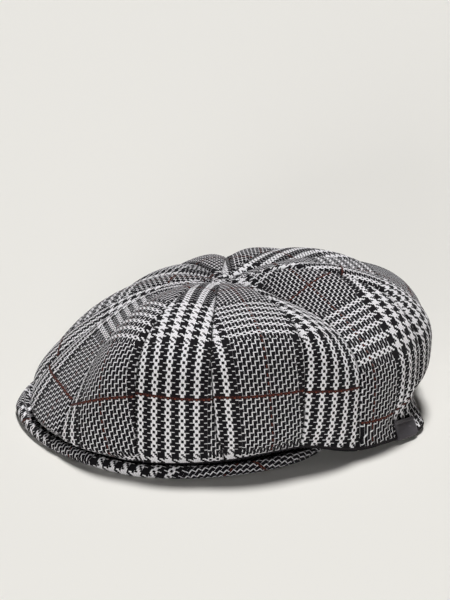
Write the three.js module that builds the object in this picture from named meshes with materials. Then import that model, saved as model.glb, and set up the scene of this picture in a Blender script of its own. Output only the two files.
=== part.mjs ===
// Newsboy cap in glen check: fourteen sewn crown panels, a cloth-covered peak, an inner band and a leather
// tab. Millimetres, +Z up, the cap's front towards -Y and the wearer's left towards +X. Angles in degrees
// from the front, growing towards the wearer's left.
import * as THREE from "three";

const CLOTH = 1.8; // thickness of a crown panel with its backing
const GAP = 0.3; // clear space kept between pieces that touch
const APEX_HEIGHT = 83.5; // where the seams meet, sunk below the crown around it
const APEX_SINK_RADIUS = 30; // how far out the crown still sinks
const APEX_HOLE = 2.6; // radius left clear between the panel tips
const PUFF = 2.2; // how far a panel swells between its seams
const MIDDLE = { x: 2.2, y: 2.8 }; // the middle of the finished outline, which is moved to the origin

// One row per seam. at, foot: the seam's direction on the crown and at the rim; reach, belly: widest radius
// and its height; rim, low: radius and height of the rim; top: how high the crown stands around the sunken
// apex; across, up: how square the profile is in radius and in height, 2 being round.
const SECTIONS = [
  { at: 5, foot: 2.5, reach: 127.5, belly: 14, rim: 121.5, low: 8, top: 88.5, across: 3.35, up: 1.1 },
  { at: 29, foot: 31, reach: 124, belly: 16, rim: 122.5, low: 8.5, top: 94, across: 4.4, up: 3.7 },
  { at: 51, foot: 55, reach: 120, belly: 26, rim: 116, low: 10, top: 93, across: 5, up: 4.2 },
  { at: 80, foot: 79.5, reach: 116, belly: 34, rim: 111, low: 13, top: 93, across: 6.5, up: 5.2 },
  { at: 99.5, foot: 99, reach: 119, belly: 40, rim: 120.5, low: 5.4, top: 84.5, across: 4.5, up: 2.3 },
  { at: 129, foot: 128, reach: 127.5, belly: 46, rim: 124.5, low: 2.8, top: 97, across: 4.4, up: 1.8 },
  { at: 154, foot: 154, reach: 131, belly: 46, rim: 120.5, low: 3, top: 92, across: 2.95, up: 1.8 },
  { at: 180, foot: 180, reach: 134, belly: 46, rim: 126, low: 4, top: 88.5, across: 2.7, up: 2.0 },
  { at: 206, foot: 206, reach: 131, belly: 40, rim: 123, low: 4, top: 87.5, across: 2.4, up: 1.7 },
  { at: 231, foot: 231, reach: 122, belly: 34, rim: 116, low: 7, top: 87.5, across: 2, up: 1.6 },
  { at: 257, foot: 257, reach: 115, belly: 28, rim: 109, low: 11.5, top: 86.5, across: 1.8, up: 1.5 },
  { at: 283, foot: 283, reach: 111, belly: 24, rim: 106, low: 12, top: 86.5, across: 1.6, up: 1.45 },
  { at: 309, foot: 309, reach: 114, belly: 18, rim: 110, low: 10, top: 87.5, across: 1.45, up: 1.4 },
  { at: 331, foot: 329, reach: 117.5, belly: 15, rim: 114, low: 8.5, top: 87.5, across: 1.5, up: 1.4 },
];

// Dents in the crown. at: direction; down: place on the way from apex (0) over the belly (1) to the rim (2);
// wide: half-width in degrees; tall: half-height on the same way; deep: how far it is pushed in.
const DENTS = [
  { at: 180, down: 0.5, wide: 7, tall: 0.3, deep: 3 },
  { at: 229, down: 0.5, wide: 7, tall: 0.3, deep: 3 },
  { at: 140, down: 1.7, wide: 18, tall: 0.22, deep: 7 },
  { at: 117, down: 1.75, wide: 6, tall: 0.3, deep: 3 },
  { at: 123, down: 2.05, wide: 10, tall: 0.2, deep: -9.5 },
];

// Where the stages of a panel's way down end, and how many rows of facets each has.
const BELLY = 1;
const RIM = 2;
const TUCK = 3;
const STAGES = [
  { to: BELLY, rows: 14 },
  { to: RIM, rows: 7 },
  { to: TUCK, rows: 4 },
];
const PANEL_COLUMNS = 5;
const FULLEST = 0.5; // across a panel, where it swells the most
const SEAM_BEND = 0.6; // a seam runs straight down to here, and leans from here to its foot
const TUCK_DROP = 2.5; // the cloth's last drop as it rolls under the rim
const TUCK_ROLL = 4; // radius over which it rolls

// The inner band is an oval of head size that stands on the ground.
const BAND = { halfWidth: 84, halfLength: 101, back: 8, wall: 1.8, height: 30, segments: 56 };

// The peak. at: degrees either way from the front; out: radius of its edge.
const PEAK_EDGE = [
  { at: 0, out: 129 },
  { at: 30, out: 129 },
  { at: 60, out: 117 },
  { at: 80, out: 109 },
  { at: 90, out: 103 },
  { at: 97, out: 94 },
];
const PEAK = { thick: 5.2, thin: 2.6, thinning: 8, lift: 1, roundness: 2.4, columns: 44, side: 2.5 };

// The leather tab on the rim, over the notch in the cloth at the left back.
const TAB = {
  from: 111.5,
  to: 120.5,
  lean: -1.5,
  top: 1.74,
  under: 2.03,
  thick: 1.6,
  stand: 0.9,
  columns: 5,
  rows: 12,
};

const radians = (degrees) => (degrees * Math.PI) / 180;
const mix = (a, b, t) => a + (b - a) * t;
const clamp01 = (t) => Math.min(1, Math.max(0, t));
const turned = (degrees) => ((degrees % 360) + 360) % 360;
const apart = (a, b) => Math.abs(((a - b + 540) % 360) - 180);

// A smooth curve through the rows of a table that closes on itself after a full turn.
function section(name, angle) {
  const count = SECTIONS.length;
  const here = turned(angle);
  let row = count - 1;
  while (row >= 0 && SECTIONS[row].at > here) row -= 1;
  const place = (k) => SECTIONS[(k + count) % count].at + 360 * Math.floor(k / count);
  const value = (k) => SECTIONS[(k + count) % count][name];
  const span = place(row + 1) - place(row);
  const t = (here - place(row)) / span;
  const slope = (k) => ((value(k + 1) - value(k - 1)) / (place(k + 1) - place(k - 1))) * span;
  const [t2, t3] = [t * t, t * t * t];
  return (
    (2 * t3 - 3 * t2 + 1) * value(row) +
    (t3 - 2 * t2 + t) * slope(row) +
    (3 * t2 - 2 * t3) * value(row + 1) +
    (t3 - t2) * slope(row + 1)
  );
}

// Straight between the rows of an open table.
function along(table, key, name, at) {
  let row = 0;
  while (row < table.length - 2 && table[row + 1][key] < at) row += 1;
  const [a, b] = [table[row], table[row + 1]];
  return mix(a[name], b[name], clamp01((at - a[key]) / (b[key] - a[key])));
}

function bandRadius(angle, extra = 0) {
  const [sine, cosine] = [Math.sin(radians(angle)), Math.cos(radians(angle))];
  const [a, b, y] = [BAND.halfWidth + extra, BAND.halfLength + extra, BAND.back];
  const qa = (sine / a) ** 2 + (cosine / b) ** 2;
  const qb = (-2 * y * -cosine) / b ** 2;
  const qc = (y / b) ** 2 - 1;
  return (-qb + Math.sqrt(qb ** 2 - 4 * qa * qc)) / (2 * qa);
}

// Radius and height of the crown before swell and dents, at a direction and a place on the way down. The
// places lie evenly on the flat of the crown and on its wall, with the shoulder about halfway.
function profile(angle, down) {
  const get = (name) => section(name, angle);
  const [reach, belly, rim, low] = [get("reach"), get("belly"), get("rim"), get("low")];
  if (down <= BELLY) {
    const [top, across, up] = [get("top"), get("across"), get("up")];
    const start = Math.asin((APEX_HOLE / reach) ** (across / 2));
    const outwards = down ** (across / 2);
    const downwards = (BELLY - down) ** (up / 2);
    const turn = mix(start, Math.PI / 2, outwards / (outwards + downwards));
    const radius = reach * Math.sin(turn) ** (2 / across);
    const rise = Math.max(0, Math.cos(turn)) ** (2 / up);
    const sink = (top - APEX_HEIGHT) * Math.exp(-((radius / APEX_SINK_RADIUS) ** 2));
    return [radius, mix(belly, top, rise) - sink];
  }
  if (down <= RIM) {
    const t = down - BELLY;
    return [mix(rim, reach, 1 - t * t), mix(belly, low, t)];
  }
  const inner = bandRadius(angle, GAP + CLOTH / 2);
  const radius = mix(rim, inner, down - RIM);
  const roll = clamp01(1 - (rim - radius) / TUCK_ROLL);
  return [radius, low - TUCK_DROP * (1 - roll * roll)];
}

// How far the cloth stands out from the plain profile, from the swell between seams and the dents.
function swell(angle, down, across) {
  const fade = clamp01(down / 0.35) * clamp01((RIM - down) / 0.5);
  let out = PUFF * Math.sin(Math.PI * clamp01(across)) ** 0.8 * fade;
  for (const dent of DENTS) {
    const sideways = apart(angle, dent.at) / dent.wide;
    const lengthways = (down - dent.down) / dent.tall;
    out -= dent.deep * Math.exp(-(sideways ** 2) - lengthways ** 2) * clamp01(TUCK - down);
  }
  return out;
}

function polar(angle, radius, height) {
  return new THREE.Vector3(radius * Math.sin(radians(angle)), -radius * Math.cos(radians(angle)), height);
}

function seamAngle(index, down) {
  const count = SECTIONS.length;
  const row = SECTIONS[index % count];
  const aboveFoot = clamp01((RIM - down) / (RIM - SEAM_BEND));
  return mix(row.foot, row.at, aboveFoot ** 2) + 360 * Math.floor(index / count);
}

// A point on the crown's outer face. across runs from one seam of the panel (0) to the next (1).
function crownPoint(panel, across, down) {
  const angle = mix(seamAngle(panel, down), seamAngle(panel + 1, down), across);
  const [radius, height] = profile(angle, down);
  const slope = (Math.PI / 2) * clamp01(down);
  const out = swell(angle, down, across);
  return polar(angle, radius + out * Math.sin(slope), height + out * Math.cos(slope));
}

function outwardNormal(surface, u, v) {
  const step = 0.004;
  const du = surface(u + step, v).sub(surface(u - step, v));
  const dv = surface(u, Math.min(v + step, TUCK)).sub(surface(u, Math.max(v - step, 0)));
  return dv.cross(du).normalize();
}

// A closed solid between two matching grids of points, each an array of rows.
function solidBetween(outer, inner) {
  const [rows, columns] = [outer.length, outer[0].length];
  const positions = [...outer.flat(), ...inner.flat()].flatMap((p) => p.toArray());
  const index = [];
  const at = (side, row, column) => side * rows * columns + row * columns + column;
  const quad = (a, b, c, d) => index.push(a, b, c, a, c, d);
  for (let r = 0; r < rows - 1; r += 1) {
    for (let c = 0; c < columns - 1; c += 1) {
      quad(at(0, r, c), at(0, r + 1, c), at(0, r + 1, c + 1), at(0, r, c + 1));
      quad(at(1, r, c), at(1, r, c + 1), at(1, r + 1, c + 1), at(1, r + 1, c));
    }
    quad(at(0, r, 0), at(1, r, 0), at(1, r + 1, 0), at(0, r + 1, 0));
    quad(at(0, r, columns - 1), at(0, r + 1, columns - 1), at(1, r + 1, columns - 1), at(1, r, columns - 1));
  }
  for (let c = 0; c < columns - 1; c += 1) {
    quad(at(0, 0, c), at(0, 0, c + 1), at(1, 0, c + 1), at(1, 0, c));
    quad(at(0, rows - 1, c), at(1, rows - 1, c), at(1, rows - 1, c + 1), at(0, rows - 1, c + 1));
  }
  const geometry = new THREE.BufferGeometry();
  geometry.setAttribute("position", new THREE.Float32BufferAttribute(positions, 3));
  geometry.setIndex(index);
  geometry.computeVertexNormals();
  return geometry;
}

function placesDown() {
  const places = [0];
  for (const stage of STAGES) {
    const start = places[places.length - 1];
    for (let k = 1; k <= stage.rows; k += 1) places.push(mix(start, stage.to, k / stage.rows));
  }
  return places;
}

function panelGeometry(panel) {
  const surface = (across, down) => crownPoint(panel, across, down);
  const outer = [];
  const inner = [];
  for (const down of placesDown()) {
    const width = surface(0, down).distanceTo(surface(1, down));
    const inset = GAP / 2 / width;
    const outerRow = [];
    const innerRow = [];
    for (let c = 0; c <= PANEL_COLUMNS; c += 1) {
      const across = mix(inset, 1 - inset, c / PANEL_COLUMNS);
      const point = surface(across, down);
      const normal = outwardNormal(surface, across, down);
      outerRow.push(point);
      innerRow.push(point.clone().addScaledVector(normal, -CLOTH));
    }
    outer.push(outerRow);
    inner.push(innerRow);
  }
  return solidBetween(outer, inner);
}

// The band is an oval tube wall, a profile swept round as one extruded ring.
function bandGeometry() {
  const oval = (extra) => {
    const path = new THREE.Path();
    path.absellipse(0, BAND.back, BAND.halfWidth + extra, BAND.halfLength + extra, 0, 2 * Math.PI, false, 0);
    return path;
  };
  const shape = new THREE.Shape(oval(0).getPoints(BAND.segments));
  shape.holes.push(oval(-BAND.wall));
  return new THREE.ExtrudeGeometry(shape, {
    depth: BAND.height,
    bevelEnabled: false,
    curveSegments: BAND.segments,
  });
}

// The peak is a crescent with a rounded outer edge, its ends thinned and lifted off the ground.
function peakGeometry() {
  const last = PEAK_EDGE[PEAK_EDGE.length - 1].at;
  const top = [];
  const bottom = [];
  for (let c = 0; c <= PEAK.columns; c += 1) {
    const angle = mix(last, -last, c / PEAK.columns);
    const outer = along(PEAK_EDGE, "at", "out", Math.abs(angle));
    const inner = bandRadius(angle, GAP);
    const lift = PEAK.lift * (Math.abs(angle) / last) ** 3;
    const half = mix(PEAK.thick, PEAK.thin, (Math.abs(angle) / last) ** PEAK.thinning) / 2;
    const topRow = [];
    const bottomRow = [];
    for (const place of [0, 0.5, 0.8, 0.9, 0.96, 1]) {
      const radius = mix(inner, outer, place);
      const toEdge = clamp01((outer - radius) / PEAK.side);
      const height = Math.max(0.15, half * (1 - (1 - toEdge) ** PEAK.roundness) ** (1 / PEAK.roundness));
      topRow.push(polar(angle, radius, lift + half + height));
      bottomRow.push(polar(angle, radius, lift + half - height));
    }
    top.push(topRow);
    bottom.push(bottomRow);
  }
  return solidBetween(top, bottom);
}

// The tab follows the crown's face just outside it and is turned under the rim.
function tabGeometry() {
  const surface = (angle, down) => {
    const [radius, height] = profile(angle, down);
    return polar(angle, radius + swell(angle, down, FULLEST), height);
  };
  const outer = [];
  const inner = [];
  for (let r = 0; r <= TAB.rows; r += 1) {
    const down = mix(TAB.top, TAB.under, r / TAB.rows);
    const outerRow = [];
    const innerRow = [];
    for (let c = 0; c <= TAB.columns; c += 1) {
      const angle = mix(TAB.from, TAB.to, c / TAB.columns) + (TAB.lean * r) / TAB.rows;
      const normal = outwardNormal(surface, angle, down);
      outerRow.push(surface(angle, down).addScaledVector(normal, TAB.stand + TAB.thick));
      innerRow.push(surface(angle, down).addScaledVector(normal, TAB.stand));
    }
    outer.push(outerRow);
    inner.push(innerRow);
  }
  return solidBetween(outer, inner);
}

function cloth(color, roughness = 0.95) {
  return new THREE.MeshStandardMaterial({ color, roughness, metalness: 0 });
}

const group = new THREE.Group();
group.name = "newsboy_cap";

function add(name, geometry, material) {
  geometry.translate(-MIDDLE.x, -MIDDLE.y, 0);
  const mesh = new THREE.Mesh(geometry, material);
  mesh.name = name;
  group.add(mesh);
}

SECTIONS.forEach((_, panel) => {
  const number = String(panel + 1).padStart(2, "0");
  add(`crown_panel_${number}`, panelGeometry(panel), cloth(panel % 2 ? "#77757a" : "#8a888d"));
});
add("peak", peakGeometry(), cloth("#6f6d72"));
add("inner_band", bandGeometry(), cloth("#1f1c20"));
add("leather_tab", tabGeometry(), cloth("#46424a", 0.6));

export default group;
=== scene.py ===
"""A newsboy cap in black and white glen check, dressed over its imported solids.

Sizes are in millimetres here, and in metres in the meshes, the nodes and the settings. Directions are in
degrees from the cap's front (-Y), growing towards the wearer's left (+X). A place on the crown is a
direction and a way down: 0 at the apex, 1 at the belly, 2 at the rim and 3 where the tucked-under cloth
meets the band.
"""

import math
from collections import namedtuple

import bpy
import numpy as np
from bpy.props import FloatProperty, FloatVectorProperty, PointerProperty
from mathutils import Matrix, Vector, noise


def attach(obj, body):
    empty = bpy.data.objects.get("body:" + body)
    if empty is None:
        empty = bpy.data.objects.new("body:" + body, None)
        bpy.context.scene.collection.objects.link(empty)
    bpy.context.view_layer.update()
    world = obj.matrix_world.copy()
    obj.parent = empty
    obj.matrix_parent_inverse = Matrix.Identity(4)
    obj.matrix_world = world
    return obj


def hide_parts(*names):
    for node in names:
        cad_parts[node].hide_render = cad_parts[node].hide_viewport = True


bl_info = {
    "name": "Newsboy cap in glen check",
    "version": (1, 0, 0),
    "blender": (4, 5, 0),
    "location": "3D View > Sidebar > Newsboy cap",
    "description": "Builds the cloth, peak, band and leather of a newsboy cap around its solids",
    "category": "Add Mesh",
}

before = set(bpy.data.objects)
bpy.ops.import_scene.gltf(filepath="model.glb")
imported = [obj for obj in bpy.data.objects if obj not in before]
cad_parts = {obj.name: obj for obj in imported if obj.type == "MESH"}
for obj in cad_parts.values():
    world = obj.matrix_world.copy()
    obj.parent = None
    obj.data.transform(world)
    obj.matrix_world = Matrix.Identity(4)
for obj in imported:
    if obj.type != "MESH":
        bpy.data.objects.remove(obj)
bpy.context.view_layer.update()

MM = 0.001
BODY = "root"

# The crown's own measures. All but the tips' radius are the same as its solids have.
APEX_HEIGHT = 83.5  # where the seams meet, sunk below the crown around it
APEX_SINK_RADIUS = 30  # how far out the crown still sinks
TIP_RADIUS = 0.6  # where the panels' tips close over the hole in the solids
PUFF = 2.2  # how far a panel swells between its seams
PUFF_POWER = 0.8  # how full the swell is across a panel, 1 being a plain sine
PUFF_BELOW_APEX = 0.35  # on the way down, where the swell is full
PUFF_ABOVE_RIM = 0.5  # how far above the rim it begins to go down
FULLEST = 0.5  # across a panel, where it swells the most
MIDDLE = (2.2, 2.8)  # the middle of the finished outline, which is moved to the origin
BELLY = 1
RIM = 2
TUCK = 3
SEAM_BEND = 0.6  # a seam runs straight down to here, and leans from here to its foot
TUCK_DROP = 2.5  # the cloth's last drop as it rolls under the rim
TUCK_ROLL = 4  # radius over which it rolls
CLOTH_SPACE = 1.8  # thickness of a solid panel
GAP = 0.3  # clear space between pieces that touch

# One row per seam. at, foot: the seam's direction on the crown and at the rim; reach, belly: widest radius
# and its height; rim, low: radius and height of the rim; top: how high the crown stands around the sunken
# apex; across, up: how square the profile is in radius and in height, 2 being round.
Section = namedtuple("Section", "at foot reach belly rim low top across up")
SECTIONS = [
    Section(5, 2.5, 127.5, 14, 121.5, 8, 88.5, 3.35, 1.1),
    Section(29, 31, 124, 16, 122.5, 8.5, 94, 4.4, 3.7),
    Section(51, 55, 120, 26, 116, 10, 93, 5.0, 4.2),
    Section(80, 79.5, 116, 34, 111, 13, 93, 6.5, 5.2),
    Section(99.5, 99, 119, 40, 120.5, 5.4, 84.5, 4.5, 2.3),
    Section(129, 128, 127.5, 46, 124.5, 2.8, 97, 4.4, 1.8),
    Section(154, 154, 131, 46, 120.5, 3, 92, 2.95, 1.8),
    Section(180, 180, 134, 46, 126, 4, 88.5, 2.7, 2.0),
    Section(206, 206, 131, 40, 123, 4, 87.5, 2.4, 1.7),
    Section(231, 231, 122, 34, 116, 7, 87.5, 2.0, 1.6),
    Section(257, 257, 115, 28, 109, 11.5, 86.5, 1.8, 1.5),
    Section(283, 283, 111, 24, 106, 12, 86.5, 1.6, 1.45),
    Section(309, 309, 114, 18, 110, 10, 87.5, 1.45, 1.4),
    Section(331, 329, 117.5, 15, 114, 8.5, 87.5, 1.5, 1.4),
]
PANELS = len(SECTIONS)

# Dents in the crown. at: direction; down: way down; wide: half-width in degrees; tall: half-height on the
# way down; deep: how far it is pushed in.
Dent = namedtuple("Dent", "at down wide tall deep")
DENTS = [
    Dent(180, 0.5, 7, 0.3, 3),
    Dent(229, 0.5, 7, 0.3, 3),
    Dent(140, 1.7, 18, 0.22, 7),
    Dent(117, 1.75, 6, 0.3, 3),
    Dent(123, 2.05, 10, 0.2, -9.5),
]

# How each panel was cut from the check. rust: how far the crossing of the nearest rust warp and weft lines
# lies to the right of the middle of the panel's belly; ring: its height above the rim along the cloth;
# lean: degrees that the warp leans to the left; rise: degrees that the weft rises to the right. Worn cloth
# is sheared, so the two differ a little.
Cut = namedtuple("Cut", "rust ring lean rise", defaults=(0, 0))
CUTS = [
    Cut(rust=5, ring=40, lean=13, rise=20),
    Cut(rust=38.4, ring=43.5, lean=0, rise=-1.5),
    Cut(rust=4, ring=42, lean=4.5, rise=-1.5),
    Cut(rust=41.8, ring=33.4, lean=-5, rise=-7),
    Cut(rust=-22.5, ring=17.3, lean=-2.5, rise=1.5),
    Cut(rust=28, ring=20),
    Cut(rust=-20, ring=68),
    Cut(rust=50, ring=34),
    Cut(rust=10, ring=36),
    Cut(rust=4, ring=8),
    Cut(rust=-6, ring=40),
    Cut(rust=2, ring=2),
    Cut(rust=-30, ring=38),
    Cut(rust=18.3, ring=35.6, lean=1, rise=1),
]

# Higher up than the ease-in height, each millimetre of the crown takes up more than a millimetre of cloth.
EASE_IN_HEIGHT = 77
EASE_IN = 1.42

# The oval of head size that the band follows, and how far back its middle lies.
BAND_HALF_WIDTH = 84
BAND_HALF_LENGTH = 101
BAND_BACK = 8
BAND_WALL = 1.8
BAND_HEIGHT = 30

# The peak's edge, as degrees either way from the front and radius, and its thickness in the middle and at
# its ends, which are lifted off the ground.
PEAK_EDGE_AT = [0, 30, 60, 80, 90, 97]
PEAK_EDGE_OUT = [129, 129, 117, 109, 103, 94]
PEAK_LAST = PEAK_EDGE_AT[-1]
PEAK_THICK = 5.2
PEAK_THIN = 2.6
PEAK_THINNING = 8
PEAK_LIFT = 1

# The leather tab: its top and its underside's end on the way down, and how far off the cloth it stands.
TAB_TOP = 1.74
TAB_UNDER = 2.03
TAB_THICK = 1.6
TAB_STAND = 0.9

# The check, counted in threads. The coarse part has light and dark threads by fours, with dark at both
# ends; the fine part has them one by one, with a rust line in its middle.
GROUP = 4
COARSE = 52
FINE_WARP = 36
FINE_WEFT = 64
TWILL = 4
# Where fine warp crosses fine weft the steps are too small to show, so they are drawn this much coarser.
COARSER = 1.18
CLOTH_UV = "cloth_mm"


def linear(hex_colour):
    """The linear colour of an sRGB hex value."""
    parts = [int(hex_colour[k : k + 2], 16) / 255 for k in (1, 3, 5)]
    return tuple(c / 12.92 if c <= 0.04045 else ((c + 0.055) / 1.055) ** 2.4 for c in parts)


def mix(a, b, t):
    return a + (b - a) * t


def clamp01(t):
    return np.clip(t, 0, 1)


def apart(a, b):
    """Degrees between two directions."""
    return np.abs(np.mod(a - b + 540, 360) - 180)


# The crown's surface


def section(name, angle):
    """A smooth closed curve through one column of the section table."""
    starts = np.array([row.at for row in SECTIONS])
    values = np.array([getattr(row, name) for row in SECTIONS], float)
    here = np.mod(angle, 360)
    row = np.searchsorted(starts, here, side="right") - 1

    def place(k):
        return starts[k % PANELS] + 360 * (k // PANELS)

    def value(k):
        return values[k % PANELS]

    span = place(row + 1) - place(row)
    t = (here - place(row)) / span

    def slope(k):
        return (value(k + 1) - value(k - 1)) / (place(k + 1) - place(k - 1)) * span

    return (
        (2 * t**3 - 3 * t**2 + 1) * value(row)
        + (t**3 - 2 * t**2 + t) * slope(row)
        + (3 * t**2 - 2 * t**3) * value(row + 1)
        + (t**3 - t**2) * slope(row + 1)
    )


def band_radius(angle, extra=0.0):
    """Distance from the cap's middle to the oval of the band, made larger by extra."""
    sine, cosine = np.sin(np.radians(angle)), np.cos(np.radians(angle))
    a, b = BAND_HALF_WIDTH + extra, BAND_HALF_LENGTH + extra
    qa = (sine / a) ** 2 + (cosine / b) ** 2
    qb = 2 * BAND_BACK * cosine / b**2
    qc = (BAND_BACK / b) ** 2 - 1
    return (-qb + np.sqrt(qb**2 - 4 * qa * qc)) / (2 * qa)


def profile(angle, down):
    """Radius and height of the crown before swell and dents."""
    reach, belly = section("reach", angle), section("belly", angle)
    rim, low, top = section("rim", angle), section("low", angle), section("top", angle)
    across, up = section("across", angle), section("up", angle)
    start = np.arcsin((TIP_RADIUS / reach) ** (across / 2))
    outwards = np.minimum(down, BELLY) ** (across / 2)
    downwards = (BELLY - np.minimum(down, BELLY)) ** (up / 2)
    turn = mix(start, math.pi / 2, outwards / (outwards + downwards))
    dome_radius = reach * np.sin(turn) ** (2 / across)
    rise = np.maximum(0, np.cos(turn)) ** (2 / up)
    sink = (top - APEX_HEIGHT) * np.exp(-((dome_radius / APEX_SINK_RADIUS) ** 2))
    dome_height = mix(belly, top, rise) - sink
    fall = clamp01(down - BELLY)
    wall_radius = mix(rim, reach, 1 - fall**2)
    wall_height = mix(belly, low, fall)
    inner = band_radius(angle, GAP + CLOTH_SPACE / 2)
    tuck_radius = mix(rim, inner, clamp01(down - RIM))
    roll = clamp01(1 - (rim - tuck_radius) / TUCK_ROLL)
    tuck_height = low - TUCK_DROP * (1 - roll**2)
    stages = [down <= BELLY, down <= RIM]
    radius = np.select(stages, [dome_radius, wall_radius], tuck_radius)
    height = np.select(stages, [dome_height, wall_height], tuck_height)
    return radius, height


def swell(angle, down, across):
    """How far the cloth stands out from the plain profile, from the swell between seams and the dents."""
    fade = clamp01(down / PUFF_BELOW_APEX) * clamp01((RIM - down) / PUFF_ABOVE_RIM)
    out = PUFF * np.sin(math.pi * clamp01(across)) ** PUFF_POWER * fade
    for dent in DENTS:
        sideways = apart(angle, dent.at) / dent.wide
        lengthways = (down - dent.down) / dent.tall
        out = out - dent.deep * np.exp(-(sideways**2) - lengthways**2) * clamp01(TUCK - down)
    return out


def polar(angle, radius, height):
    """Points from directions, radii and heights, with the finished cap's middle at the origin."""
    x = radius * np.sin(np.radians(angle)) - MIDDLE[0]
    y = -radius * np.cos(np.radians(angle)) - MIDDLE[1]
    return np.stack([x, y, height + 0 * x], axis=-1)


def seam_angle(index, down):
    """Direction of a seam, which runs straight from the apex and leans from the shoulder to its foot."""
    row = SECTIONS[index % PANELS]
    above_foot = clamp01((RIM - down) / (RIM - SEAM_BEND))
    return mix(row.foot, row.at, above_foot**2) + 360 * (index // PANELS)


def crown_surface(panel, across, down, extra=0.0):
    """Points of a panel's outer face. across runs from the panel's first seam (0) to its next (1)."""
    angle = mix(seam_angle(panel, down), seam_angle(panel + 1, down), across)
    radius, height = profile(angle, down)
    slope = math.pi / 2 * clamp01(down)
    out = swell(angle, down, across) + extra
    return polar(angle, radius + out * np.sin(slope), height + out * np.cos(slope))


def running_sum(steps, axis=0):
    """How far each step along an axis has come, with the start as zero."""
    start = np.zeros_like(np.take(steps, [0], axis=axis))
    return np.concatenate([start, np.cumsum(steps, axis=axis)], axis=axis)


def row_lengths(points, axis):
    """Length run along a grid of points, from its first row or column to each."""
    return running_sum(np.linalg.norm(np.diff(points, axis=axis), axis=-1), axis)


def unit(vectors):
    return vectors / np.linalg.norm(vectors, axis=-1, keepdims=True)


def panel_flat(points, downs):
    """The panel laid flat: each point's distance to the right of the belly's middle, and its height above
    the rim's middle, both along the cloth. The grain is carried straight up and down the panel from the
    belly, and from the panel's middle line out to both seams."""
    middle = points.shape[1] // 2
    column = points[:, middle]
    normals = unit(np.cross(np.gradient(column, axis=0), points[:, middle + 1] - points[:, middle - 1]))
    belly = int(np.searchsorted(downs, BELLY))
    ups = np.zeros_like(column)
    ups[belly] = (0, 0, 1)

    def carry(before, row):
        """Carries the upward grain from one row to another, and lays it in the cloth's plane there."""
        lean = ups[before] @ normals[row]
        ups[row] = unit(ups[before] - lean * normals[row])

    carry(belly, belly)
    for row in range(belly - 1, -1, -1):
        carry(row + 1, row)
    for row in range(belly + 1, len(downs)):
        carry(row - 1, row)
    rights = np.cross(ups, normals)
    steps = np.diff(column, axis=0)
    middle_right = running_sum((steps * (rights[1:] + rights[:-1]) / 2).sum(axis=-1))
    middle_up = running_sum((steps * (ups[1:] + ups[:-1]) / 2).sum(axis=-1))
    middle_right -= middle_right[belly]
    middle_up -= np.interp(RIM, downs, middle_up)
    across = np.diff(points, axis=1)
    rise = (across * ups[:, None]).sum(axis=-1)
    side = np.sqrt(np.maximum((across**2).sum(axis=-1) - rise**2, 0))
    right, up = running_sum(side, 1), running_sum(rise, 1)
    right += middle_right[:, None] - right[:, middle : middle + 1]
    up += middle_up[:, None] - up[:, middle : middle + 1]
    return right, up


# Meshes


def grid_object(name, points, materials, uv=None, second_from=None):
    """A smooth-shaded mesh from a grid of points, with a map of the cloth in millimetres. From the row
    second_from on, it has the second material."""
    rows, columns = points.shape[:2]
    faces = []
    for r in range(rows - 1):
        for c in range(columns - 1):
            here = r * columns + c
            faces.append((here, here + columns, here + columns + 1, here + 1))
    mesh = bpy.data.meshes.new(name)
    mesh.from_pydata((points.reshape(-1, 3) * MM).tolist(), [], faces)
    if uv is not None:
        layer = mesh.uv_layers.new(name=CLOTH_UV)
        corners = np.array([loop.vertex_index for loop in mesh.loops])
        layer.data.foreach_set("uv", uv.reshape(-1, 2)[corners].ravel())
    for material in materials:
        mesh.materials.append(material)
    mesh.polygons.foreach_set("use_smooth", [True] * len(mesh.polygons))
    if second_from is not None:
        first = second_from * (columns - 1)
        mesh.polygons.foreach_set("material_index", [int(k >= first) for k in range(len(faces))])
    piece = bpy.data.objects.new(name, mesh)
    bpy.context.scene.collection.objects.link(piece)
    return piece


def seat(piece, node):
    """Puts a finished piece on the cap in place of its solid."""
    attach(piece, BODY)
    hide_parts(node)


def thicken(piece, thickness, inside=0):
    """Gives a sheet its thickness, towards its inner side, with the material of that index there."""
    solid = piece.modifiers.new("thickness", "SOLIDIFY")
    solid.thickness = thickness * MM
    solid.offset = -1
    solid.material_offset = inside
    solid.use_quality_normals = True


# Materials

# How the nodes are laid out in the editor.
NODES_IN_ROW = 12
NODE_SPACE = (180, 220)


def add_node(tree, kind, settings, inputs, output=0):
    """Adds a node, sets it, fills its sockets with values or links, and gives back one of its outputs."""
    node = tree.nodes.new("ShaderNode" + kind)
    row, column = divmod(len(tree.nodes), NODES_IN_ROW)
    node.location = (column * NODE_SPACE[0], -row * NODE_SPACE[1])
    for name, value in settings.items():
        setattr(node, name, value)
    for socket, value in inputs.items():
        if isinstance(value, bpy.types.NodeSocket):
            tree.links.new(value, node.inputs[socket])
        else:
            node.inputs[socket].default_value = value
    return node.outputs[output]


def opaque(colour):
    return (*colour, 1.0)


# A Mix node's two kinds, and its sockets: for two values, and for two colours with their result.
MIX_VALUES = {"data_type": "FLOAT"}
MIX_COLOURS = {"data_type": "RGBA"}
VALUE_A = 2
VALUE_B = 3
MIX_A = 6
MIX_B = 7
MIX_RESULT = 2

# The length of one wave of a wave texture whose scale is 1.
WAVE = 0.31

# How large the unevenness of each face is: clumps of hair in the wool, specks in the ribbon, clouds in the
# leather and fibres in the paper. The hair also has its share in the wool's relief, and the clouds are
# darker and paler than the leather.
HAIR_CLUMP = 0.45455
HAIR_RELIEF = 0.35
SPECK = 1.25
HIDE_CLOUD = 7.143
DARK_CLOUD = 0.8
PALE_CLOUD = 1.25
PAPER_FIBRE = 16.667


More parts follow.
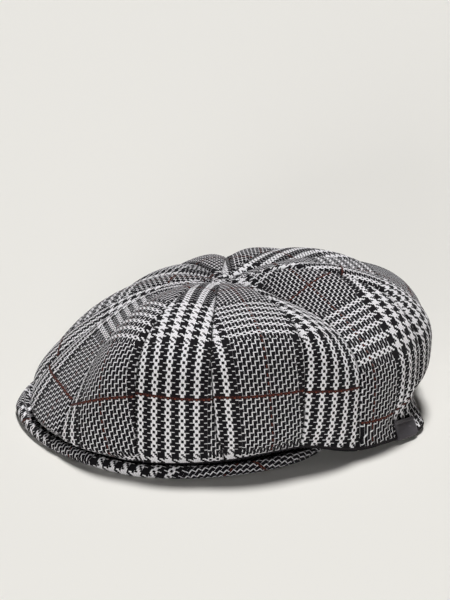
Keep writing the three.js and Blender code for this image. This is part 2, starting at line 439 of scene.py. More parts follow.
def glen_check_cloth(tree, settings):
    """Worsted wool glen check, woven as a two and two twill: the eye gets small stars, chains and steps of
    white on black with a matt, faintly hairy face, each thread stands up as a small ridge, and the gaps
    between threads are darkened as painted shade."""
    flat = add_node(tree, "UVMap", {"uv_map": CLOTH_UV}, {})
    drift = add_node(
        tree,
        "TexNoise",
        {"noise_dimensions": "2D"},
        {"Vector": flat, "Scale": 1 / settings.drift_length * MM, "Detail": 1.0},
        "Color",
    )
    centred = add_node(tree, "VectorMath", {"operation": "SUBTRACT"}, {0: drift, 1: (0.5, 0.5, 0.5)})
    pushed = add_node(
        tree,
        "VectorMath",
        {"operation": "MULTIPLY_ADD"},
        {0: centred, 1: (settings.drift / MM,) * 3, 2: flat},
    )
    threads = add_node(
        tree,
        "VectorMath",
        {"operation": "MULTIPLY"},
        {0: pushed, 1: (MM / settings.warp_pitch, MM / settings.weft_pitch, 0)},
    )
    split = add_node(tree, "SeparateXYZ", {}, {0: threads}).node

    # Each way's place in the repeat, counted in threads: the coarse part comes first, and the fine part
    # lies round the rust line. Whole numbers are compared halfway between two of them.
    found = {}
    for way, axis, fine in (("warp", "X", FINE_WARP), ("weft", "Y", FINE_WEFT)):
        to_rust = COARSE + fine / 2
        count = add_node(tree, "Math", {"operation": "ADD"}, {0: split.outputs[axis], 1: to_rust})
        wrapped = add_node(tree, "Math", {"operation": "FLOORED_MODULO"}, {0: count, 1: COARSE + fine})
        in_fine = add_node(tree, "Math", {"operation": "GREATER_THAN"}, {0: wrapped, 1: COARSE})
        found[way] = {"wrapped": wrapped, "in_fine": in_fine, "to_rust": to_rust}
    both_fine = add_node(
        tree,
        "Math",
        {"operation": "MULTIPLY"},
        {0: found["warp"]["in_fine"], 1: found["weft"]["in_fine"]},
    )
    shrink = add_node(
        tree, "Math", {"operation": "MULTIPLY_ADD"}, {0: both_fine, 1: 1 / COARSER - 1, 2: 1.0}
    )

    # The white threads are thinner than the black ones: little in the coarse part, much in the fine one.
    for way, thin, rust_reach in (
        ("warp", settings.thin_warp, settings.rust_warp / settings.warp_pitch / 2),
        ("weft", settings.thin_weft, settings.rust_weft / settings.weft_pitch / 2),
    ):
        here = found[way]
        place = add_node(
            tree, "Math", {"operation": "SUBTRACT"}, {0: here["wrapped"], 1: here["to_rust"]}
        )
        scaled = add_node(tree, "Math", {"operation": "MULTIPLY"}, {0: place, 1: shrink})
        drawn = []
        for threads_in, base, back, bend in (
            (GROUP, here["wrapped"], here["to_rust"], settings.thin_group),
            (1, scaled, 0.0, -thin),
        ):
            turn = add_node(tree, "Math", {"operation": "MULTIPLY"}, {0: base, 1: math.pi / threads_in})
            swing = add_node(tree, "Math", {"operation": "COSINE"}, {0: turn})
            bent = add_node(tree, "Math", {"operation": "MULTIPLY_ADD"}, {0: swing, 1: bend, 2: base})
            drawn.append(add_node(tree, "Math", {"operation": "SUBTRACT"}, {0: bent, 1: back}))
        count = add_node(
            tree, "Mix", MIX_VALUES, {"Factor": here["in_fine"], VALUE_A: drawn[0], VALUE_B: drawn[1]}
        )
        thread = add_node(tree, "Math", {"operation": "FLOOR"}, {0: count})
        in_pair = add_node(tree, "Math", {"operation": "FLOORED_MODULO"}, {0: thread, 1: 2})
        by_one = add_node(tree, "Math", {"operation": "LESS_THAN"}, {0: in_pair, 1: 0.5})
        counted = add_node(tree, "Math", {"operation": "ADD"}, {0: thread, 1: here["to_rust"]})
        in_group = add_node(tree, "Math", {"operation": "FLOORED_MODULO"}, {0: counted, 1: 2 * GROUP})
        by_four = add_node(tree, "Math", {"operation": "GREATER_THAN"}, {0: in_group, 1: GROUP - 0.5})
        light = add_node(
            tree, "Mix", MIX_VALUES, {"Factor": here["in_fine"], VALUE_A: by_four, VALUE_B: by_one}
        )
        is_rust = add_node(tree, "Math", {"operation": "COMPARE"}, {0: place, 1: 0.0, 2: rust_reach})
        within = add_node(tree, "Math", {"operation": "FRACT"}, {0: count})
        half_turn = add_node(tree, "Math", {"operation": "MULTIPLY"}, {0: within, 1: math.pi})
        round_back = add_node(tree, "Math", {"operation": "SINE"}, {0: half_turn})
        here.update(count=count, thread=thread, light=light, is_rust=is_rust, round=round_back)

    warp, weft = found["warp"], found["weft"]
    both = add_node(tree, "Math", {"operation": "ADD"}, {0: warp["thread"], 1: weft["thread"]})
    step = add_node(tree, "Math", {"operation": "FLOORED_MODULO"}, {0: both, 1: TWILL})
    warp_up = add_node(tree, "Math", {"operation": "LESS_THAN"}, {0: step, 1: TWILL / 2 - 0.5})

    # Each float rises in its middle and dips under at its ends.
    arches = {}
    for way, other in (("warp", "weft"), ("weft", "warp")):
        run = add_node(
            tree, "Math", {"operation": "ADD"}, {0: found[way]["thread"], 1: found[other]["count"]}
        )
        phase = add_node(tree, "Math", {"operation": "MULTIPLY"}, {0: run, 1: 2 * math.pi / TWILL})
        wave = add_node(tree, "Math", {"operation": "SINE"}, {0: phase})
        lift = add_node(tree, "Math", {"operation": "ABSOLUTE"}, {0: wave})
        found[way]["lift"] = lift
        arches[way] = add_node(tree, "Math", {"operation": "MULTIPLY"}, {0: lift, 1: found[way]["round"]})
    ridge = add_node(
        tree,
        "Mix",
        MIX_COLOURS,
        {"Factor": warp_up, MIX_A: arches["weft"], MIX_B: arches["warp"]},
        MIX_RESULT,
    )

    # The full warp threads close over the ends of the weft floats.
    low_end = add_node(tree, "Math", {"operation": "LESS_THAN"}, {0: weft["lift"], 1: settings.float_end})
    warp_seen = add_node(tree, "Math", {"operation": "MAXIMUM"}, {0: warp_up, 1: low_end})
    light = add_node(
        tree, "Mix", MIX_VALUES, {"Factor": warp_seen, VALUE_A: weft["light"], VALUE_B: warp["light"]}
    )
    plain = add_node(
        tree,
        "Mix",
        MIX_COLOURS,
        {"Factor": light, MIX_A: opaque(settings.black_wool), MIX_B: opaque(settings.white_wool)},
        MIX_RESULT,
    )
    # The rust threads show as specks: the warp ones only where they are on top.
    # Painted shade: each rust float goes to black wool at its sides and ends, in the gaps between threads.
    rust_on_top = add_node(tree, "Math", {"operation": "MULTIPLY"}, {0: warp["is_rust"], 1: warp_up})
    on_rust = add_node(tree, "Math", {"operation": "MAXIMUM"}, {0: rust_on_top, 1: weft["is_rust"]})
    crest = add_node(tree, "Math", {"operation": "POWER"}, {0: ridge, 1: 2.0})
    rust_face = add_node(
        tree,
        "Mix",
        MIX_COLOURS,
        {"Factor": crest, MIX_A: opaque(settings.black_wool), MIX_B: opaque(settings.rust_wool)},
        MIX_RESULT,
    )
    face = add_node(
        tree, "Mix", MIX_COLOURS, {"Factor": on_rust, MIX_A: plain, MIX_B: rust_face}, MIX_RESULT
    )
    # Painted shade: the colour is darkened in the gaps between threads, down to the gap shade, and varied
    # at random by the hair.
    gaps = add_node(
        tree,
        "MapRange",
        {},
        {"Value": ridge, "From Min": 0.0, "From Max": 0.6, "To Min": settings.gap_shade, "To Max": 1.0},
    )
    hair = add_node(
        tree,
        "TexNoise",
        {"noise_dimensions": "2D"},
        {"Vector": flat, "Scale": 1 / HAIR_CLUMP, "Detail": 3.0, "Roughness": 0.7},
        "Fac",
    )
    uneven = add_node(
        tree,
        "MapRange",
        {},
        {"Value": hair, "From Min": 0.3, "From Max": 0.7, "To Min": 0.92, "To Max": 1.06},
    )
    shade = add_node(tree, "Math", {"operation": "MULTIPLY"}, {0: gaps, 1: uneven})
    toned = add_node(tree, "VectorMath", {"operation": "SCALE"}, {0: face, "Scale": shade})
    height = add_node(tree, "Math", {"operation": "MULTIPLY_ADD"}, {0: hair, 1: HAIR_RELIEF, 2: ridge})
    bump = add_node(
        tree, "Bump", {}, {"Height": height, "Strength": 0.5, "Distance": settings.thread_relief}
    )
    return add_node(
        tree,
        "BsdfPrincipled",
        {},
        {
            "Base Color": toned,
            "Roughness": 0.92,
            "Specular IOR Level": 0.1,
            "Sheen Weight": 0.03,
            "Sheen Roughness": 0.6,
            "Normal": bump,
        },
    )


def black_lining(tree, settings):
    """Black cotton twill lining, woven and pressed: a dull dark face with a fine slanting rib."""
    place = add_node(tree, "TexCoord", {}, {}, "Object")
    rib = add_node(
        tree,
        "TexWave",
        {"wave_type": "BANDS", "bands_direction": "DIAGONAL"},
        {"Vector": place, "Scale": WAVE / settings.lining_rib, "Distortion": 0.6, "Detail": 1.0},
        "Fac",
    )
    colour = add_node(
        tree,
        "Mix",
        MIX_COLOURS,
        {"Factor": rib, MIX_A: opaque(linear("#141214")), MIX_B: opaque(linear("#262226"))},
        MIX_RESULT,
    )
    bump = add_node(tree, "Bump", {}, {"Height": rib, "Strength": 0.4, "Distance": 0.2 * MM})
    return add_node(
        tree,
        "BsdfPrincipled",
        {},
        {"Base Color": colour, "Roughness": 0.8, "Specular IOR Level": 0.25, "Normal": bump},
    )


def grosgrain(tree, settings):
    """Black viscose grosgrain ribbon, woven with thick weft ribs: low, even ridges with a silky gleam."""
    flat = add_node(tree, "UVMap", {"uv_map": CLOTH_UV}, {})
    rib = add_node(
        tree,
        "TexWave",
        {"wave_type": "BANDS", "bands_direction": "X"},
        {"Vector": flat, "Scale": WAVE * MM / settings.ribbon_rib, "Distortion": 0.3},
        "Fac",
    )
    speckle = add_node(tree, "TexNoise", {}, {"Vector": flat, "Scale": 1 / SPECK, "Detail": 3.0}, "Fac")
    tone = add_node(tree, "Math", {"operation": "MULTIPLY"}, {0: rib, 1: speckle})
    colour = add_node(
        tree,
        "Mix",
        MIX_COLOURS,
        {"Factor": tone, MIX_A: opaque(linear("#121013")), MIX_B: opaque(linear("#2f2a30"))},
        MIX_RESULT,
    )
    bump = add_node(tree, "Bump", {}, {"Height": rib, "Strength": 0.6, "Distance": 0.3 * MM})
    return add_node(
        tree,
        "BsdfPrincipled",
        {},
        {"Base Color": colour, "Roughness": 0.5, "Specular IOR Level": 0.4, "Normal": bump},
    )


def tab_leather(tree, settings):
    """Grey sheepskin, dyed and lightly milled: matt, with a fine pebbled grain and a painted highlight on
    its edges.
    """
    place = add_node(tree, "TexCoord", {}, {}, "Object")
    pebbles = add_node(
        tree,
        "TexVoronoi",
        {"feature": "SMOOTH_F1"},
        {"Vector": place, "Scale": 1 / settings.leather_grain, "Smoothness": 0.6},
        "Distance",
    )
    cloud_scale = 1 / (HIDE_CLOUD * MM)
    clouds = add_node(tree, "TexNoise", {}, {"Vector": place, "Scale": cloud_scale, "Detail": 4.0}, "Fac")
    # Painted highlight: the sharp edges are drawn paler, towards #6a656a.
    edge = add_node(tree, "NewGeometry", {}, {}, "Pointiness")
    edge_highlight = add_node(
        tree,
        "MapRange",
        {},
        {"Value": edge, "From Min": 0.52, "From Max": 0.6, "To Min": 0.0, "To Max": 0.6},
    )
    dyed = add_node(
        tree,
        "Mix",
        MIX_COLOURS,
        {
            "Factor": clouds,
            MIX_A: opaque(DARK_CLOUD * c for c in settings.leather),
            MIX_B: opaque(PALE_CLOUD * c for c in settings.leather),
        },
        MIX_RESULT,
    )
    colour = add_node(
        tree,
        "Mix",
        MIX_COLOURS,
        {"Factor": edge_highlight, MIX_A: dyed, MIX_B: opaque(linear("#6a656a"))},
        MIX_RESULT,
    )
    bump = add_node(
        tree, "Bump", {"invert": True}, {"Height": pebbles, "Strength": 0.5, "Distance": 0.2 * MM}
    )
    return add_node(
        tree,
        "BsdfPrincipled",
        {},
        {"Base Color": colour, "Roughness": 0.58, "Specular IOR Level": 0.4, "Normal": bump},
    )


def studio_paper(tree, settings):
    """Matt background paper, rolled out: an even pale ground with no gloss."""
    place = add_node(tree, "TexCoord", {}, {}, "Object")
    fibre_scale = 1 / (PAPER_FIBRE * MM)
    fibre = add_node(tree, "TexNoise", {}, {"Vector": place, "Scale": fibre_scale, "Detail": 2.0}, "Fac")
    bump = add_node(tree, "Bump", {}, {"Height": fibre, "Strength": 0.02, "Distance": 0.2 * MM})
    return add_node(
        tree,
        "BsdfDiffuse",
        {},
        {"Color": opaque(settings.floor_colour), "Roughness": 0.5, "Normal": bump},
    )


def material_of(name, surface):
    """The scene's material of that name, made when it is first wanted."""
    material = bpy.data.materials.get(name)
    if material is None:
        material = bpy.data.materials.new(name)
        material.use_nodes = True
        tree = material.node_tree
        tree.nodes.clear()
        out = tree.nodes.new("ShaderNodeOutputMaterial")
        tree.links.new(surface(tree, bpy.context.scene.newsboy_cap), out.inputs["Surface"])
    return material


# Settings

LENGTH = {"unit": "LENGTH", "precision": 5}
SHARE = {"min": 0, "max": 1, "subtype": "FACTOR"}


class CapSettings(bpy.types.PropertyGroup):
    """Sizes and colours of the cap's cloth and leather."""

    cloth_thickness: FloatProperty(
        name="Cloth thickness",
        description="Thickness of a crown panel",
        default=1.2 * MM,
        min=0.5 * MM,
        max=3 * MM,
        **LENGTH,
    )
    seam_depth: FloatProperty(
        name="Seam depth",
        description="How far the cloth is drawn in at a seam",
        default=1.5 * MM,
        **LENGTH,
    )
    seam_width: FloatProperty(
        name="Seam width",
        description="Distance from a seam over which the cloth rolls into it",
        default=0.6 * MM,
        **LENGTH,
    )
    pucker: FloatProperty(
        name="Seam pucker",
        description="Height of the small waves that the stitching draws along a seam",
        default=0.12 * MM,
        **LENGTH,
    )
    pucker_length: FloatProperty(
        name="Pucker length",
        description="Length of one wave along a seam",
        default=11 * MM,
        **LENGTH,
    )
    slack: FloatProperty(
        name="Slack",
        description="Height of the soft unevenness of the worn cloth",
        default=0.7 * MM,
        **LENGTH,
    )
    gathers: FloatProperty(
        name="Gathers",
        description="Height of the pleats in the cloth over the leather tab",
        default=1.0 * MM,
        **LENGTH,
    )
    warp_pitch: FloatProperty(
        name="Warp pitch",
        description="Distance from one warp thread to the next",
        default=1.07 * MM,
        **LENGTH,
    )
    weft_pitch: FloatProperty(
        name="Weft pitch",
        description="Distance from one weft thread to the next",
        default=1.11 * MM,
        **LENGTH,
    )
    thin_warp: FloatProperty(
        name="Thin warp",
        description="Thinning of the white warp threads in the fine part, in threads",
        default=0.3,
        **SHARE,
    )
    thin_weft: FloatProperty(
        name="Thin weft",
        description="Thinning of the white weft threads in the fine part, in threads",
        default=0.45,
        **SHARE,
    )
    thin_group: FloatProperty(
        name="Thin group",
        description="Thinning of each group of white threads in the coarse part, in threads",
        default=0.14,
        **SHARE,
    )
    float_end: FloatProperty(
        name="Float end",
        description="How high a weft float has to stand before it shows between the warp threads",
        default=0.3,
        **SHARE,
    )
    rust_warp: FloatProperty(
        name="Rust warp",
        description="Width of the rust line up the cloth",
        default=1.3 * MM,
        **LENGTH,
    )
    rust_weft: FloatProperty(
        name="Rust weft",
        description="Width of the rust line across the cloth",
        default=1.6 * MM,
        **LENGTH,
    )
    drift: FloatProperty(
        name="Thread drift",
        description="How far threads wander from a straight line",
        default=0.7 * MM,
        **LENGTH,
    )
    drift_length: FloatProperty(
        name="Drift length",
        description="Length over which threads wander",
        default=22 * MM,
        **LENGTH,
    )
    thread_relief: FloatProperty(
        name="Thread relief",
        description="Height of a thread above the gaps beside it",
        default=0.35 * MM,
        **LENGTH,
    )
    # Painted shade: how bright the gaps between threads are drawn.
    gap_shade: FloatProperty(
        name="Gap shade",
        description="Brightness left in the gaps between threads",
        default=0.72,
        **SHARE,
    )
    lining_rib: FloatProperty(
        name="Lining rib",
        description="Distance between the ribs of the lining twill, drawn coarse so that it shows",
        default=1.0 * MM,
        **LENGTH,
    )
    ribbon_rib: FloatProperty(
        name="Ribbon rib",
        description="Distance between the ribs of the grosgrain band",
        default=1.2 * MM,
        **LENGTH,
    )
    leather_grain: FloatProperty(
        name="Leather grain",
        description="Width of a pebble of the leather's grain, drawn a little coarse",
        default=0.9 * MM,
        **LENGTH,
    )
    black_wool: FloatVectorProperty(
        name="Black wool",
        description="Colour of the dark threads",
        default=linear("#171519"),
        subtype="COLOR",
    )
    white_wool: FloatVectorProperty(
        name="White wool",
        description="Colour of the light threads",
        default=linear("#f4f2f5"),
        subtype="COLOR",
    )
    rust_wool: FloatVectorProperty(
        name="Rust wool",
        description="Colour of the overcheck threads",
        default=linear("#773a2a"),
        subtype="COLOR",
    )
    leather: FloatVectorProperty(
        name="Leather",
        description="Colour of the leather tab",
        default=linear("#4e4b4f"),
        subtype="COLOR",
    )
    floor_colour: FloatVectorProperty(
        name="Floor",
        description="Colour of the studio floor",
        default=linear("#eeece7"),
        subtype="COLOR",
    )


# Operators


class CAP_OT_crown(bpy.types.Operator):
    """Build the fourteen cloth panels of the crown"""

    bl_idname = "newsboy_cap.crown"
    bl_label = "Crown panels"

    # Rows of the mesh down to each place, and the row from which the rim's edge is black lining as painted
    # shade.
    ROWS = ((BELLY, 66), (RIM, 34), (TUCK, 14))
    PAINTED_SHADE_FROM = 99
    # Columns across a panel, and how evenly they lie away from the seams, 1 being a plain sine.
    COLUMNS = 36
    EVENNESS = 0.55
    # Half-widths of a panel from which its seam grooves, puckers and slack are full.
    GROOVE_FULL = 12
    PUCKER_FULL = 20
    SLACK_FULL = 25
    # How far from a seam puckers reach and slack starts, how far above the rim on the way down each fades,
    # the turn between one seam's puckers and the next's, and the width of the slack's waves.
    PUCKER_REACH = 7
    PUCKER_FADE = 0.3
    PUCKER_TURN = 2.4
    SLACK_FROM = 9
    SLACK_FADE = 0.2
    SLACK_WIDE = 27
    # The gathers over the leather tab: direction, half-width and pleat width in degrees, place and
    # half-height on the way down.
    GATHERS_AT = 119
    GATHERS_WIDE = 9
    PLEAT = 3.6
    GATHERS_DOWN = 1.5
    GATHERS_TALL = 0.28
    # The least share of its width times length for a panel's flat area. Nothing here uses it.
    LEAST_AREA = 0.31

    def places_down(self):
        places = [0.0]
        for end, rows in self.ROWS:
            start = places[-1]
            places += [mix(start, end, k / rows) for k in range(1, rows + 1)]
        return np.array(places)

    def places_across(self):
        """Closer together towards both seams."""
        even = np.linspace(-1, 1, self.COLUMNS + 1)
        return 0.5 + 0.5 * np.sin(even * math.pi / 2) * mix(self.EVENNESS, 1, np.abs(even))

    def relief(self, panel, points, downs, above):
        """Seam grooves, puckers, slack and gathers, in millimetres outwards."""
        settings = bpy.context.scene.newsboy_cap
        run = row_lengths(points, 1)
        half = run[:, -1:] / 2
        from_seam = half - np.abs(run - half)
        to_rim = RIM - downs[:, None]
        depth = settings.seam_depth / MM * clamp01(half / self.GROOVE_FULL)
        groove = -depth * np.exp(-((from_seam / (settings.seam_width / MM)) ** 2))
        side = np.where(run < half, panel, panel + 1)
        wave = np.sin(2 * math.pi * above / (settings.pucker_length / MM) + self.PUCKER_TURN * side)
        fade = np.exp(-from_seam / self.PUCKER_REACH) * clamp01(to_rim / self.PUCKER_FADE)
        pucker = settings.pucker / MM * wave * fade * clamp01(half / self.PUCKER_FULL)
        places = points.reshape(-1, 3) / self.SLACK_WIDE
        loose = np.array([noise.noise(Vector(place)) for place in places]).reshape(run.shape)
        calm = clamp01(from_seam / self.SLACK_FROM) * clamp01(to_rim / self.SLACK_FADE)
        slack = settings.slack / MM * loose * calm * clamp01(half / self.SLACK_FULL)
        angle = np.degrees(np.arctan2(points[..., 0] + MIDDLE[0], -points[..., 1] - MIDDLE[1]))
        sideways = (angle - self.GATHERS_AT) / self.GATHERS_WIDE
        lengthways = (downs[:, None] - self.GATHERS_DOWN) / self.GATHERS_TALL
        pleats = np.sin(2 * math.pi * angle / self.PLEAT) * np.exp(-(sideways**2) - lengthways**2)
        return groove + pucker + slack + settings.gathers / MM * pleats

    def execute(self, context):
        settings = context.scene.newsboy_cap
        cloth = material_of("worsted_wool_glen_check_twill", glen_check_cloth)
        lining = material_of("cotton_twill_lining_pressed", black_lining)
        downs, across = self.places_down(), self.places_across()
        grid_down, grid_across = np.meshgrid(downs, across, indexing="ij")
        for panel, cut in enumerate(CUTS):
            plain = crown_surface(panel, grid_across, grid_down)
            aside, above = panel_flat(plain, downs)
            extra = self.relief(panel, plain, downs, above)
            points = crown_surface(panel, grid_across, grid_down, extra)
            lean, rise = math.radians(cut.lean), math.radians(cut.rise)
            eased = above + (EASE_IN - 1) * np.maximum(0, above - EASE_IN_HEIGHT)
            right, up = aside - cut.rust, eased - cut.ring
            sideways = right * math.cos(lean) + up * math.sin(lean)
            upwards = up * math.cos(rise) - right * math.sin(rise)
            uv = np.stack([sideways, upwards], axis=-1)
            number = f"{panel + 1:02d}"
            # The last rows, round the rim and under it, take the black lining cloth as painted shade under
            # the rim.
            piece = grid_object(f"panel_cloth_{number}", points, [cloth, lining], uv, self.PAINTED_SHADE_FROM)
            thicken(piece, settings.cloth_thickness / MM, inside=1)
            seat(piece, f"crown_panel_{number}")
        return {"FINISHED"}


class CAP_OT_peak(bpy.types.Operator):
    """Build the cloth-covered peak with its rolled edge"""

    bl_idname = "newsboy_cap.peak"
    bl_label = "Peak"

    COLUMNS = 150
    TOP_ROWS = 26
    ROLL_ROWS = 15
    UNDER_ROWS = 16
    # The rolled edge: how far in it reaches, how much higher it stands than the board, and the directions
    # between which it goes down to the board.
    ROLL = 4.2
    BEAD = 2.8
    BEAD_FULL = 76
    BEAD_GONE = 96
    # How thin the board is behind the edge, above and below, and over how far it thickens to it.
    TOP_SHARE = 0.78
    TOP_RISE = 2.2
    UNDER_SHARE = 0.85
    UNDER_RISE = 7
    # The groove stitched into the top: how far in from the edge, how deep and how wide.
    GROOVE_IN = 8.0
    GROOVE_DEEP = 0.7
    GROOVE_WIDE = 1.2
    # How square its ends are seen from above, and how much of their thickness is left at the tips.
    END_SQUARE = 24
    END_LEFT = 0.02
    # Directions in which its cover's warp and weft run out, and how far along them the rust lines lie.
    LEAN = 13
    RISE = 28
    RUST_ASIDE = 84.3
    RUST_AHEAD = 92.5

    def execute(self, context):
        cloth = material_of("worsted_wool_glen_check_twill", glen_check_cloth)
        angles = np.linspace(-PEAK_LAST, PEAK_LAST, self.COLUMNS + 1)
        outer = np.interp(np.abs(angles), PEAK_EDGE_AT, PEAK_EDGE_OUT)
        inner = band_radius(angles, GAP)
        ends = np.abs(angles) / PEAK_LAST
        lift = PEAK_LIFT * ends**3
        thick = mix(PEAK_THICK, PEAK_THIN, ends**PEAK_THINNING)
        half = thick / 2 * np.sqrt(np.clip(1 - ends**self.END_SQUARE, self.END_LEFT, 1))
        bead = self.BEAD * clamp01((self.BEAD_GONE - np.abs(angles)) / (self.BEAD_GONE - self.BEAD_FULL))
        points = []

        def add_row(radius, height):
            points.append(polar(angles, radius, lift + PEAK_THICK / 2 + height))

        start = outer - self.ROLL
        for share in np.linspace(0, 1, self.TOP_ROWS):
            radius = mix(inner, start, share)
            from_groove = (outer - radius - self.GROOVE_IN) / self.GROOVE_WIDE
            groove = self.GROOVE_DEEP * np.exp(-(from_groove**2))
            near = clamp01(1 - (start - radius) / self.TOP_RISE)
            add_row(radius, half * mix(self.TOP_SHARE, 1, near) + bead * near**2 - groove)
        for turn in np.linspace(0, math.pi, self.ROLL_ROWS)[1:-1]:
            rise = (half + bead / 2) * np.cos(turn) + bead / 2
            add_row(start + self.ROLL * np.sin(turn), rise)
        for share in np.linspace(1, 0, self.UNDER_ROWS):
            radius = mix(inner, start, share)
            near = clamp01(1 - (outer - radius) / self.UNDER_RISE)
            add_row(radius, -half * mix(self.UNDER_SHARE, 1, near))
        grid = np.array(points)
        reach = inner[None, :] + row_lengths(grid, 0)
        sideways = reach * np.sin(np.radians(angles - self.LEAN)) - self.RUST_ASIDE
        upwards = self.RUST_AHEAD - reach * np.cos(np.radians(angles - self.RISE))
        piece = grid_object("peak_cloth", grid, [cloth], np.stack([sideways, upwards], axis=-1))
        seat(piece, "peak")
        return {"FINISHED"}


class CAP_OT_band(bpy.types.Operator):
    """Build the dark ribbed band inside the rim"""

    bl_idname = "newsboy_cap.band"
    bl_label = "Inner band"

    COLUMNS = 160
    ROWS = 16
    # Where its end laps over its start at the back: degrees of overlap, where the end begins to step in,
    # over how many degrees, and how far. Then how much it bows inwards halfway up.
    OVERLAP = 6
    STEP_FROM = 176
    STEP_OVER = 4
    STEP = 0.9
    BOW = 0.4

    def execute(self, context):
        ribbon = material_of("viscose_grosgrain_ribbon_woven", grosgrain)
        angles = np.linspace(-180, 180 + self.OVERLAP, self.COLUMNS + 1)
        heights = np.linspace(0, BAND_HEIGHT, self.ROWS)
        lap = clamp01((angles - self.STEP_FROM) / self.STEP_OVER) * self.STEP
        rows = []
        for height in heights:
            bow = self.BOW * math.sin(math.pi * height / BAND_HEIGHT)
            radius = band_radius(angles) - bow - lap
            rows.append(polar(angles, radius, height))
        grid = np.array(rows)
        along = row_lengths(grid, 1)
        uv = np.stack([along, np.broadcast_to(heights[:, None], along.shape)], axis=-1)
        piece = grid_object("band_ribbon", grid, [ribbon], uv)
        thicken(piece, BAND_WALL / 2)
        seat(piece, "inner_band")
        return {"FINISHED"}


class CAP_OT_tab(bpy.types.Operator):
    """Build the leather tab on the rim at the left back"""

    bl_idname = "newsboy_cap.tab"
    bl_label = "Leather tab"

    COLUMNS = 24
    ROWS = 44
    # Directions of its side edges at the top and underneath, and how much lower its top is at the back.
    # It follows the crown up to the bridge direction and spans the notch from there.
    TOP_EDGES = (113.9, 123.5)
    UNDER_EDGES = (112.5, 119.5)
    TOP_SLANT = 0.09
    BRIDGE_FROM = 118.5
    # The fold pressed across it: place and half-width as shares of its length, and depth.
    FOLD_AT = 0.2
    FOLD_WIDE = 0.035
    FOLD_DEEP = 0.5
    # How far its cut edges are rounded, and in how many steps.
    SOFT_EDGE = 0.5
    SOFT_STEPS = 3

    def execute(self, context):
        leather = material_of("sheepskin_leather_milled", tab_leather)
        down_share, side_share = np.meshgrid(
            np.linspace(0, 1, self.ROWS + 1), np.linspace(0, 1, self.COLUMNS + 1), indexing="ij"
        )
        top = mix(*self.TOP_EDGES, side_share)
        under = mix(*self.UNDER_EDGES, side_share)
        angle = mix(top, under, down_share)
        down = mix(TAB_TOP + self.TOP_SLANT * side_share, TAB_UNDER, down_share)
        radius, height = profile(angle, down)
        out = swell(np.minimum(angle, self.BRIDGE_FROM), down, FULLEST) + TAB_STAND + TAB_THICK
        fold = self.FOLD_DEEP * np.exp(-(((down_share - self.FOLD_AT) / self.FOLD_WIDE) ** 2))
        grid = polar(angle, radius + out - fold, height)
        piece = grid_object("tab_leather", grid, [leather])
        thicken(piece, TAB_THICK)
        bevel = piece.modifiers.new("soft_edges", "BEVEL")
        bevel.width = self.SOFT_EDGE * MM
        bevel.segments = self.SOFT_STEPS
        bevel.limit_method = "ANGLE"
        seat(piece, "leather_tab")
        return {"FINISHED"}


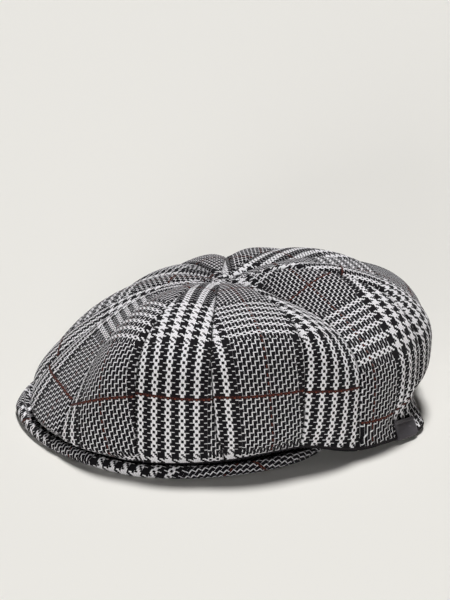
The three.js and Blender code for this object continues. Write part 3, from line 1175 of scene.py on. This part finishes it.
class CAP_OT_stage(bpy.types.Operator):
    """Set up the studio floor, the light and the camera"""

    bl_idname = "newsboy_cap.stage"
    bl_label = "Studio"

    FLOOR_SIDE = 16000
    # The camera, in metres and degrees, and how far it is moved up and to the right across its view.
    AZIMUTH = 54
    ELEVATION = 20.3
    DISTANCE = 2.0
    RAISE = 0.0655
    ASIDE = -0.001
    SENSOR = 36
    FARTHEST = 60
    # What one pixel of the image covers at the cap, and the image's long side in pixels.
    PIXEL = 0.63 * MM
    LONG_SIDE = 600
    # The lamps. energy, softness: strength and angular size in degrees; up, away, aside: how far each
    # stands up, behind the cap and to its right, as the camera sees it.
    Lamp = namedtuple("Lamp", "name energy softness up away aside")
    LAMPS = (
        Lamp("overhead_softbox", energy=3.45, softness=12, up=1, away=0.25, aside=0.07),
        Lamp("front_softbox", energy=1.9, softness=20, up=0.03, away=-1, aside=-0.2),
    )
    SKY_STRENGTH = 0.01

    def axes(self):
        """The camera's right, up and back directions."""
        a, e = math.radians(self.AZIMUTH), math.radians(self.ELEVATION)
        back = Vector((math.sin(a) * math.cos(e), -math.cos(a) * math.cos(e), math.sin(e)))
        right = Vector((math.cos(a), math.sin(a), 0))
        return right, back.cross(right), back

    def execute(self, context):
        side = self.FLOOR_SIDE / 2
        x, y = np.meshgrid([-side, side], [-side, side], indexing="ij")
        paper = material_of("background_paper_matt", studio_paper)
        floor = grid_object("studio_floor", np.stack([x, y, 0 * x], axis=-1), [paper])

        right, up, back = self.axes()
        camera_data = bpy.data.cameras.new("camera")
        camera_data.sensor_width = self.SENSOR
        camera_data.lens = self.SENSOR * self.DISTANCE / (self.LONG_SIDE * self.PIXEL)
        camera_data.clip_end = self.FARTHEST
        camera = bpy.data.objects.new("camera", camera_data)
        place = back * self.DISTANCE + up * self.RAISE + right * self.ASIDE
        turned = Matrix((right, up, back)).transposed().to_4x4()
        camera.matrix_world = Matrix.Translation(place) @ turned
        context.scene.collection.objects.link(camera)
        context.scene.camera = camera

        upright = Vector((0, 0, 1))
        behind = upright.cross(right)
        for lamp in self.LAMPS:
            lamp_data = bpy.data.lights.new(lamp.name, "SUN")
            lamp_data.energy = lamp.energy
            lamp_data.angle = math.radians(lamp.softness)
            lamp_object = bpy.data.objects.new(lamp.name, lamp_data)
            towards = upright * lamp.up + behind * lamp.away + right * lamp.aside
            lamp_object.rotation_mode = "QUATERNION"
            lamp_object.rotation_quaternion = towards.to_track_quat("Z", "Y")
            context.scene.collection.objects.link(lamp_object)

        world = bpy.data.worlds.new("studio")
        world.use_nodes = True
        sky = world.node_tree.nodes["Background"]
        sky.inputs["Color"].default_value = opaque(linear("#f3f3f1"))
        sky.inputs["Strength"].default_value = self.SKY_STRENGTH
        context.scene.world = world
        context.scene.view_settings.view_transform = "Standard"
        return {"FINISHED"}


class CAP_PT_parts(bpy.types.Panel):
    """The cap's settings and its parts, in the order in which they are built"""

    bl_idname = "CAP_PT_parts"
    bl_label = "Newsboy cap"
    bl_space_type = "VIEW_3D"
    bl_region_type = "UI"
    bl_category = "Newsboy cap"

    def draw(self, context):
        settings = context.scene.newsboy_cap
        for name in CapSettings.__annotations__:
            self.layout.prop(settings, name)
        for operator in BUILD_ORDER:
            self.layout.operator(operator.bl_idname)


BUILD_ORDER = (CAP_OT_crown, CAP_OT_peak, CAP_OT_band, CAP_OT_tab, CAP_OT_stage)
CLASSES = (CapSettings, *BUILD_ORDER, CAP_PT_parts)


def register():
    for cls in CLASSES:
        bpy.utils.register_class(cls)
    bpy.types.Scene.newsboy_cap = PointerProperty(type=CapSettings)


def unregister():
    del bpy.types.Scene.newsboy_cap
    for cls in reversed(CLASSES):
        bpy.utils.unregister_class(cls)


def main():
    """Builds the whole scene."""
    register()
    bpy.ops.newsboy_cap.crown()
    bpy.ops.newsboy_cap.peak()
    bpy.ops.newsboy_cap.band()
    bpy.ops.newsboy_cap.tab()
    bpy.ops.newsboy_cap.stage()


if __name__ == "__main__":
    main()
